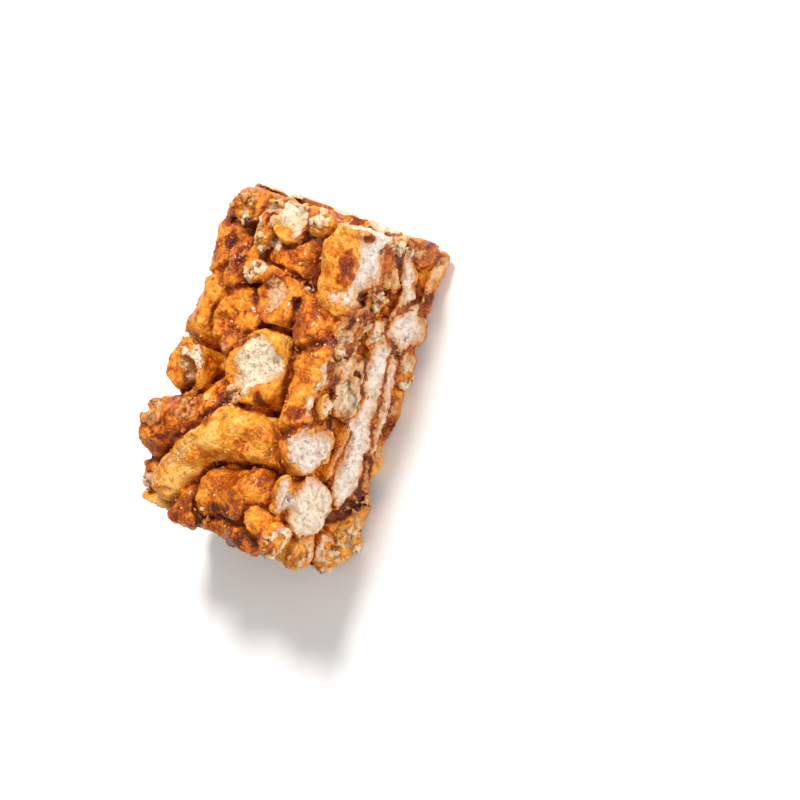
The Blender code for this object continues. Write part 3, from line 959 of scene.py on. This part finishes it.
def slim(block):
    """Brings the mesh under its limit: first the sides that the photograph doesn't show, then all of it."""
    facing = normals(block) @ -np.array(camera_axes()[2])
    unseen = (facing < 0).astype(float)
    weights(block, "unseen", unseen)
    thin = block.modifiers.new("thin_unseen", "DECIMATE")
    thin.ratio = 1 - (1 - UNSEEN_SHARE) * unseen.mean()
    thin.vertex_group = "unseen"
    thin.vertex_group_factor = 1.0
    apply_modifier(block, "thin_unseen")
    count = triangle_count(block)
    if count > MOST_TRIANGLES:
        thin = block.modifiers.new("thin_all", "DECIMATE")
        thin.ratio = MOST_TRIANGLES / count
        apply_modifier(block, "thin_all")


def linear(hex_colour):
    """The linear colour of an sRGB hex value."""
    parts = [int(hex_colour[i : i + 2], 16) / 255 for i in (1, 3, 5)]
    return tuple(v / 12.92 if v <= 0.04045 else ((v + 0.055) / 1.055) ** 2.4 for v in parts) + (1.0,)


def add_node(tree, kind, links=None, output=0, stops=(), **settings):
    """Adds a shader node with its settings, and its links by input name or number, and gives one output."""
    node = tree.nodes.new("ShaderNode" + kind)
    for key, value in settings.items():
        setattr(node, key, value)
    for key, value in (links or {}).items():
        if isinstance(value, bpy.types.NodeSocket):
            tree.links.new(value, node.inputs[key])
        else:
            node.inputs[key].default_value = value
    if stops:
        points = node.color_ramp.elements
        for point, (spot, colour) in zip(points, (stops[0], stops[-1])):
            point.position = spot
            point.color = linear(colour)
        for spot, colour in stops[1:-1]:
            points.new(spot).color = linear(colour)
    return node.outputs[output]


def group_points(block, facts):
    """Sorts the block's points into the groups that the relief works on, by depths in millimetres."""
    depth = facts["crumb_depth"]
    crumb = share_past(depth, 0.4, over=0.6)
    rim = 1 - share_past(np.abs(depth - 0.7), 0.0, over=0.8)
    shard = np.clip(SHARD_LEVEL + SHARD_GAIN * facts["shard"], 0, 1)
    weights(block, "crumb", crumb)
    weights(block, "skin", 1 - crumb)
    weights(block, "bare", share_past(facts["bare"], 0.0, over=0.6))
    weights(block, "crease", 1 - share_past(facts["pinch"], 0.0, over=1.1))
    weights(block, "rim", np.maximum(rim * RIM_SHARE, facts["torn"]))
    weights(block, "shard", shard * facts["torn"])
    weights(block, "pooled", share_past(facts["outside"], 0.3, over=0.5))


def raise_relief(block):
    """The whole block's relief: squashed rolls, then skin, creases and syrup, then crumb and its edges."""
    roughen(block, "squash", size=7.0, strength=3.2, in_all_ways=True)
    sink(block, "grooves", depth=0.7, group="crease")
    sink(block, "skin_step", depth=0.35, group="bare")
    roughen(block, "lumps", size=3.0, strength=0.9, group="skin")
    roughen(block, "blisters", size=1.0, strength=0.24, group="skin", depth=2)
    roughen(block, "crust", size=1.3, strength=1.1, group="crease", depth=2)
    roughen(block, "drips", size=1.8, strength=1.6, group="pooled")
    roughen(block, "hollows", size=2.4, strength=1.3, group="crumb")
    roughen(block, "pores", size=1.2, strength=0.9, group="crumb", kind="VORONOI")
    sink(block, "shards", depth=-SHARD_RISE, group="shard")
    roughen(block, "crags", size=1.2, strength=1.5, group="rim", depth=2)


def build_block():
    """The whole block: rolls, syrup, relief."""
    dice = np.random.default_rng(SEED + 2)
    shown = BROAD_FACE_ROLLS + CUT_SIDE_ROLLS
    rolls = shown + more_rolls(shown)
    pieces = [syrup_body()] + [lay_roll(roll, dice) for roll in rolls]
    hollow_out(pieces)
    block = fuse(pieces, "dough_rolls")
    largest_body(block)
    facts = describe_surface(block, rolls)
    group_points(block, facts)
    raise_relief(block)
    keep_inside(block)
    slim(block)
    pick(block)
    bpy.ops.object.shade_smooth()
    return block


def crumb_shapes(dice):
    """A few crumbs to copy, of about a millimetre: small balls of dough that broke off flat on some sides."""
    shapes = []
    for number in range(CRUMB_KINDS):
        deselect_all()
        bpy.ops.mesh.primitive_ico_sphere_add(subdivisions=2, radius=MM)
        crumb = bpy.context.object
        bpy.ops.object.mode_set(mode="EDIT")
        for _ in range(CRUMB_CUTS):
            way = Vector(dice.normal(size=3)).normalized()
            at = way * dice.uniform(*CRUMB_CUTS_AT) * MM
            bpy.ops.mesh.select_all(action="SELECT")
            bpy.ops.mesh.bisect(plane_co=at, plane_no=way, use_fill=True, clear_outer=True)
        bpy.ops.mesh.select_all(action="SELECT")
        bpy.ops.mesh.quads_convert_to_tris()
        bpy.ops.object.mode_set(mode="OBJECT")
        roughen(crumb, f"crumb_{number}", size=0.6 + 0.1 * number, strength=1.0)
        shapes.append(crumb)
    return shapes


def flake_shapes(dice):
    """A few flakes of fried skin to copy: thin curled scraps with broken edges."""
    shapes = []
    for number in range(FLAKE_KINDS):
        deselect_all()
        bpy.ops.mesh.primitive_grid_add(x_subdivisions=FLAKE_GRID, y_subdivisions=FLAKE_GRID, size=2 * MM)
        flake = bpy.context.object
        bpy.ops.object.mode_set(mode="EDIT")
        for turn in range(FLAKE_CUTS):
            angle = 2 * math.pi * (turn + dice.uniform(*FLAKE_CUTS_TURN)) / FLAKE_CUTS
            way = Vector((math.cos(angle), math.sin(angle), 0))
            at = way * dice.uniform(*FLAKE_CUTS_AT) * MM
            bpy.ops.mesh.select_all(action="SELECT")
            bpy.ops.mesh.bisect(plane_co=at, plane_no=way, clear_outer=True)
        bpy.ops.object.mode_set(mode="OBJECT")
        roughen(flake, f"flake_{number}", size=1.1 + 0.2 * number, strength=1.1)
        wall = flake.modifiers.new("thickness", "SOLIDIFY")
        wall.thickness = FLAKE_THICKNESS * MM
        wall.offset = 0.0
        apply_modifier(flake, "thickness")
        shapes.append(flake)
    return shapes


def copy_of(shape, place, turn, scale):
    """A copy of a shape with its own mesh, set down at a place."""
    twin = shape.copy()
    twin.data = shape.data.copy()
    bpy.context.scene.collection.objects.link(twin)
    twin.data.transform(Matrix.LocRotScale(Vector(place), turn, Vector(scale)))
    return twin


def scatter_crumbs(block):
    """Crumbs and flakes stuck on the syrup, most of them along torn edges and in the creases."""
    dice = np.random.default_rng(SEED + 3)
    places = positions(block)
    facing = normals(block)
    values = {}
    for name in ("crumb_depth", "pinch"):
        values[name] = np.empty(len(places), dtype=np.float32)
        block.data.attributes[name].data.foreach_get("value", values[name])
    torn_edge = np.clip(TORN_EDGE_REACH - np.abs(values["crumb_depth"] - TORN_EDGE_DEPTH), 0, 1)
    crease = 1 - share_past(values["pinch"], 0.0, over=CREASE_REACH)
    reached = (facing[:, 2] > LOWEST_FACING) * (places[:, 2] > LOWEST_CRUMB * MM)
    sticky = (SKIN_CHANCE + torn_edge + CREASE_CHANCE * crease) * reached
    low, high = room_for_relief()
    pieces = []
    for shapes, count, sizes, lift in (
        (crumb_shapes(dice), CRUMBS, CRUMB_SIZES, CRUMB_LIFT),
        (flake_shapes(dice), FLAKES, FLAKE_SIZES, FLAKE_LIFT),
    ):
        chosen = dice.choice(len(places), count, replace=False, p=sticky / sticky.sum())
        for spot in chosen:
            size = sizes[0] + (sizes[1] - sizes[0]) * dice.uniform() ** SMALL_POWER
            shape = shapes[dice.integers(len(shapes))]
            away = Vector(facing[spot])
            turn = away.to_track_quat("Z", "Y") @ Euler(dice.normal(0, CRUMB_TILT, 3)).to_quaternion()
            stretch = Vector([dice.uniform(*limits) for limits in CRUMB_STRETCHES])
            twin = copy_of(shape, Vector(places[spot]) + away * lift * size * MM, turn, size * stretch)
            corners = positions(twin) / MM
            if (corners < low).any() or (corners > high).any():
                bpy.data.objects.remove(twin)
                continue
            add_attribute(twin, "toast", np.full(len(twin.data.vertices), dice.uniform(*CRUMB_TOASTS)))
            pieces.append(twin)
        for shape in shapes:
            bpy.data.objects.remove(shape)
    crumbs = join(pieces, "loose_crumbs")
    pick(crumbs)
    bpy.ops.object.shade_flat()
    return crumbs


def dough_material():
    """Fried dough under a thin brown sugar syrup.

    The skin is golden where the syrup is thin and red-brown where it has pooled, and it shines where it is
    wet. Painted shade darkens it in the creases and deep places, and painted highlights fleck it with pale
    specks. Where a roll is cut or torn the dry cream crumb shows, with pores of about three quarters of a
    millimetre, and painted shade darkens it in its hollows, pores and air cells.
    """
    mat = bpy.data.materials.new("syrup_coated_fried_dough")
    mat.use_nodes = True
    tree = mat.node_tree
    shader = tree.nodes["Principled BSDF"]
    add = partial(add_node, tree)
    place = add("TexCoord", output="Object")
    facts = {name: add("Attribute", output="Fac", attribute_name=name) for name in SURFACE_FACTS}

    # The patterns, with their sizes in millimetres, their detail and their roughness
    grain = {}
    for name, size, detail, roughness in (
        ("blotches", 4.5, 2.0, 0.55),
        ("mottle", 1.6, 3.0, 0.60),
        ("shade_clumps", 1.3, 4.0, 0.65),
        ("pores", 0.75, 3.0, 0.70),
        ("specks", 0.5, 3.0, 0.60),
        ("painted_glints", 0.38, 2.0, 0.60),
        ("pits", 0.28, 2.0, 0.55),
    ):
        links = {"Vector": place, "Scale": 1 / (size * MM), "Detail": detail, "Roughness": roughness}
        grain[name] = add("TexNoise", links)

    # The same patterns less their middle, so that they make a value swing both ways
    swing = {}
    for name in ("blotches", "mottle", "specks", "pits"):
        swing[name] = add("Math", {0: grain[name], 1: 0.5}, operation="SUBTRACT")

    # Stains with a crisp edge, and thin spots where the stain is below 0
    stain = add("Math", {0: facts["stain"], 1: 0.0}, operation="MAXIMUM")
    thin_spot = add("Math", {0: facts["stain"], 1: 0.0}, operation="MINIMUM")
    stain_edge = add("Math", {0: swing["mottle"], 1: 0.6, 2: facts["stain"]}, operation="MULTIPLY_ADD")
    stain_edge = add("Math", {0: swing["specks"], 1: 0.25, 2: stain_edge}, operation="MULTIPLY_ADD")
    stained = add("MapRange", {0: stain_edge, 1: 0.14, 2: 0.28}, interpolation_type="SMOOTHSTEP")
    stained = add("Math", {0: stained, 1: stain}, operation="MULTIPLY")

    # Creases with a ragged edge, where syrup gathers and painted shade falls, deep places that get painted
    # shade, and the syrup between the rolls
    crease = add("Math", {0: swing["mottle"], 1: 1.6, 2: facts["pinch"]}, operation="MULTIPLY_ADD")
    crease = add("MapRange", {0: crease, 1: 1.2, 2: 0.0}, interpolation_type="SMOOTHSTEP")
    sunk = add("MapRange", {0: facts["sunk"], 1: 4.5, 2: 9.5}, interpolation_type="SMOOTHSTEP")
    pooled = add("MapRange", {0: facts["outside"], 1: 0.3, 2: 1.0}, interpolation_type="SMOOTHSTEP")

    # How dark the skin is, from 0 to 1: each roll's own tone, and what each of these adds to it. The crease
    # adds syrup and painted shade, and the deep places add painted shade.
    dark = facts["tone"]
    for value, weight in (
        (thin_spot, 1.0),
        (stained, 1.15),
        (swing["blotches"], 1.3),
        (swing["mottle"], 1.1),
        (swing["specks"], 0.8),
        # Painted shade: darker in the creases, on top of their syrup, and in the deep places
        (crease, 0.36),
        (sunk, 0.18),
        (pooled, 0.16),
    ):
        dark = add("Math", {0: value, 1: weight, 2: dark}, operation="MULTIPLY_ADD")
    dark.node.use_clamp = True
    skin = add(
        "ValToRGB",
        {0: dark},
        stops=[
            (0.0, "#F2B25A"),
            (0.2, "#EA982C"),
            (0.42, "#D67810"),
            (0.62, "#B25000"),
            (0.82, "#823000"),
            (1.0, "#5A2000"),
        ],
    )

    # Painted highlights: fine pale specks where the skin isn't dark, in place of tiny glints
    painted_glints = add("MapRange", {0: grain["painted_glints"], 1: 0.58, 2: 0.68}, interpolation_type="SMOOTHSTEP")
    light = add("MapRange", {0: dark, 1: 0.9, 2: 0.2}, interpolation_type="SMOOTHSTEP")
    painted_glints = add("Math", {0: painted_glints, 1: light}, operation="MULTIPLY")
    painted_glints = add("Math", {0: painted_glints, 1: 0.35}, operation="MULTIPLY")
    skin = add("Mix", {0: painted_glints, 6: skin, 7: linear("#FFC278")}, output=2, data_type="RGBA")

    # How deep the crumb is, in millimetres, with a ragged edge and less of it under a stain
    ragged = facts["crumb_depth"]
    for value, weight in ((swing["mottle"], 1.8), (swing["specks"], 1.0), (stain, -3.0)):
        ragged = add("Math", {0: value, 1: weight, 2: ragged}, operation="MULTIPLY_ADD")
    is_crumb = add("MapRange", {0: ragged, 1: 0.32, 2: 0.66}, interpolation_type="SMOOTHSTEP")
    inside = add("MapRange", {0: ragged, 1: 0.2, 2: 2.8}, interpolation_type="SMOOTHSTEP")
    deep = add("MapRange", {0: ragged, 1: 0.8, 2: 1.6}, interpolation_type="SMOOTHSTEP")

    # The crumb is golden just under the skin and white or cream further in, and brown where it is toasted
    white = add(
        "ValToRGB",
        {0: inside},
        stops=[(0.0, "#E8984E"), (0.2, "#F0C092"), (0.5, "#F8E0CA"), (1.0, "#FFF0E2")],
    )
    cream = add(
        "ValToRGB",
        {0: inside},
        stops=[(0.0, "#EC9A4A"), (0.2, "#F6C086"), (0.5, "#FCDCB2"), (1.0, "#FFEACA")],
    )
    speckle = add("Math", {0: swing["specks"], 1: 0.8, 2: grain["mottle"]}, operation="MULTIPLY_ADD")
    brown = add("ValToRGB", {0: speckle}, stops=[(0.25, "#FACC98"), (0.5, "#E69A50"), (0.75, "#B05A20")])
    toast = add("Math", {0: swing["mottle"], 1: 0.6, 2: facts["toast"]}, operation="MULTIPLY_ADD")
    creamy = add("MapRange", {0: toast, 1: 0.15, 2: 0.40}, interpolation_type="SMOOTHSTEP")
    toasted = add("MapRange", {0: toast, 1: 0.50, 2: 0.80}, interpolation_type="SMOOTHSTEP")
    inner = add("Mix", {0: creamy, 6: white, 7: cream}, output=2, data_type="RGBA")
    inner = add("Mix", {0: toasted, 6: inner, 7: brown}, output=2, data_type="RGBA")

    # Painted shade: the crumb is darker in the hollows between its lumps, in its pores and, finest, in its
    # air cells
    shade_clumps = add("MapRange", {0: grain["shade_clumps"], 1: 0.48, 2: 0.68}, interpolation_type="SMOOTHSTEP")
    pores = add("MapRange", {0: grain["pores"], 1: 0.58, 2: 0.70}, interpolation_type="SMOOTHSTEP")
    pores = add("Math", {0: pores, 1: deep}, operation="MULTIPLY")
    cells = add("MapRange", {0: grain["specks"], 1: 0.52, 2: 0.70}, interpolation_type="SMOOTHSTEP")
    cells = add("Math", {0: cells, 1: deep}, operation="MULTIPLY")
    for where, most, colour in (
        (shade_clumps, 0.60, "#D89C70"),
        (pores, 0.50, "#B86C3C"),
        (cells, 0.35, "#D08C58"),
    ):
        share = add("Math", {0: where, 1: most}, operation="MULTIPLY")
        inner = add("Mix", {0: share, 6: inner, 7: linear(colour)}, output=2, data_type="RGBA")
    surface = add("Mix", {0: is_crumb, 6: skin, 7: inner}, output=2, data_type="RGBA")
    tree.links.new(surface, shader.inputs["Base Color"])

    # Wet syrup shines, crumb is dry
    wet = add("MapRange", {0: dark, 1: 0.15, 2: 0.75}, interpolation_type="SMOOTHSTEP")
    skin_rough = add("Math", {0: wet, 1: -0.16, 2: 0.36}, operation="MULTIPLY_ADD")
    skin_rough = add("Math", {0: swing["specks"], 1: 0.7, 2: skin_rough}, operation="MULTIPLY_ADD")
    crumb_rough = add("Math", {0: is_crumb, 1: 0.85}, operation="MULTIPLY")
    rough = add("Math", {0: skin_rough, 1: crumb_rough}, operation="MAXIMUM", use_clamp=True)
    tree.links.new(rough, shader.inputs["Roughness"])
    is_skin = add("Math", {0: 1.0, 1: is_crumb}, operation="SUBTRACT")
    thick = add("Math", {0: swing["mottle"], 1: 1.0, 2: dark}, operation="MULTIPLY_ADD")
    thick = add("MapRange", {0: thick, 1: 0.1, 2: 0.6}, interpolation_type="SMOOTHSTEP")
    coat = add("Math", {0: is_skin, 1: thick}, operation="MULTIPLY")
    coat = add("Math", {0: coat, 1: 0.28}, operation="MULTIPLY")
    tree.links.new(coat, shader.inputs["Coat Weight"])

    # Fine relief: skin is blistered, with blisters of 0.7 mm, and crumb is pitted
    links = {"Vector": place, "Scale": 1 / (0.7 * MM), "Randomness": 1.0, "Smoothness": 0.6}
    blisters = add("TexVoronoi", links, feature="SMOOTH_F1")
    skin_height = add("Math", {0: blisters, 1: -0.5}, operation="MULTIPLY")
    for value, weight in ((swing["mottle"], 0.5), (swing["specks"], 0.8)):
        skin_height = add("Math", {0: value, 1: weight, 2: skin_height}, operation="MULTIPLY_ADD")
    crumb_height = grain["specks"]
    for value, weight in ((swing["pits"], 0.9), (pores, -0.8)):
        crumb_height = add("Math", {0: value, 1: weight, 2: crumb_height}, operation="MULTIPLY_ADD")
    crumb_height = add("Math", {0: crumb_height, 1: 1.1}, operation="MULTIPLY")
    for value, weight in ((swing["mottle"], 1.2), (shade_clumps, -0.5)):
        crumb_height = add("Math", {0: value, 1: weight, 2: crumb_height}, operation="MULTIPLY_ADD")
    step = add("Math", {0: crumb_height, 1: skin_height}, operation="SUBTRACT")
    height = add("Math", {0: is_crumb, 1: step, 2: skin_height}, operation="MULTIPLY_ADD")
    bump = add("Bump", {"Height": height, "Distance": 0.6 * MM, "Strength": 0.9})
    tree.links.new(bump, shader.inputs["Normal"])

    shader.inputs["Metallic"].default_value = 0.0
    shader.inputs["IOR"].default_value = 1.47
    shader.inputs["Specular IOR Level"].default_value = 0.20
    shader.inputs["Coat Roughness"].default_value = 0.10
    shader.inputs["Coat IOR"].default_value = 1.50
    shader.inputs["Subsurface Weight"].default_value = 0.15
    shader.inputs["Subsurface Radius"].default_value = (1.0, 0.8, 0.6)
    shader.inputs["Subsurface Scale"].default_value = 0.4 * MM
    return mat


def crumb_material():
    """Toasted dough crumbs: dry, cream to golden brown, each with its own colour and a grain of 0.4 mm."""
    mat = bpy.data.materials.new("toasted_dough_crumb")
    mat.use_nodes = True
    tree = mat.node_tree
    shader = tree.nodes["Principled BSDF"]
    add = partial(add_node, tree)
    place = add("TexCoord", output="Object")
    toast = add("Attribute", output="Fac", attribute_name="toast")
    grain = add("TexNoise", {"Vector": place, "Scale": 1 / (0.4 * MM), "Detail": 3.0})
    brown = add("Math", {0: grain, 1: 0.7, 2: toast}, operation="MULTIPLY_ADD", use_clamp=True)
    colour = add("ValToRGB", {0: brown}, stops=[(0.3, "#F6DDB4"), (0.7, "#EFAE58"), (1.0, "#C06A1C")])
    tree.links.new(colour, shader.inputs["Base Color"])
    bump = add("Bump", {"Height": grain, "Distance": 0.2 * MM})
    tree.links.new(bump, shader.inputs["Normal"])
    shader.inputs["Roughness"].default_value = 0.65
    shader.inputs["Metallic"].default_value = 0.0
    shader.inputs["IOR"].default_value = 1.45
    return mat


def floor_material():
    """Matt white studio card, with a faint cloud of painted light and shade, as a plain sheet shows under
    soft light.
    """
    mat = bpy.data.materials.new("white_studio_card")
    mat.use_nodes = True
    tree = mat.node_tree
    shader = tree.nodes["Principled BSDF"]
    add = partial(add_node, tree)
    place = add("TexCoord", output="Object")
    cloud = add("TexNoise", {"Vector": place, "Scale": 6.0})
    shade = add("Mix", {0: cloud, 6: linear("#F3F2F1"), 7: linear("#F8F7F6")}, output=2, data_type="RGBA")
    tree.links.new(shade, shader.inputs["Base Color"])
    shader.inputs["Roughness"].default_value = 0.7
    return mat


def lay_floor():
    """A plain pale floor."""
    deselect_all()
    bpy.ops.mesh.primitive_plane_add(size=6.0, location=(0, 0, 0))
    floor = bpy.context.object
    floor.name = "floor"
    floor.data.materials.append(floor_material())


def place_camera():
    """A long lens, looking down on the block and turned so that the block's head is at the top."""
    right, up, forward = camera_axes()
    data = bpy.data.cameras.new("camera")
    data.lens = LENS
    data.sensor_width = SENSOR
    data.clip_start = 0.01
    camera = bpy.data.objects.new("camera", data)
    turned = Matrix((right, up, -forward)).transposed().to_4x4()
    turned.translation = (CAMERA_AIM - CAMERA_DISTANCE * forward) * MM
    camera.matrix_world = turned
    bpy.context.scene.collection.objects.link(camera)
    bpy.context.scene.camera = camera


def soft_light(name, toward, distance, size, power):
    """A square softbox that faces the block."""
    data = bpy.data.lights.new(name, "AREA")
    data.shape = "SQUARE"
    data.size = size
    data.energy = power
    lamp = bpy.data.objects.new(name, data)
    away = Vector(toward).normalized()
    lamp.location = away * distance
    lamp.rotation_euler = away.to_track_quat("Z", "Y").to_euler()
    bpy.context.scene.collection.objects.link(lamp)


def light_studio():
    """Bright, even studio light, strongest from the block's head end, and softer on the cut side."""
    world = bpy.data.worlds.new("studio")
    bpy.context.scene.world = world
    world.use_nodes = True
    back = world.node_tree.nodes["Background"]
    back.inputs["Color"].default_value = (1.0, 0.98, 0.95, 1.0)
    back.inputs["Strength"].default_value = 0.48
    soft_light("key", toward=(0.7, 0.15, 0.9), distance=0.9, size=0.22, power=9.2)
    soft_light("fill", toward=(0.15, -0.95, 0.35), distance=1.0, size=0.8, power=6.4)
    bpy.context.scene.view_settings.view_transform = "Standard"


block = build_block()
block.data.materials.clear()
block.data.materials.append(dough_material())
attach(block, "root")
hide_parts(NODE)

crumbs = scatter_crumbs(block)
crumbs.data.materials.clear()
crumbs.data.materials.append(crumb_material())
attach(crumbs, "root")

lay_floor()
place_camera()
light_studio()
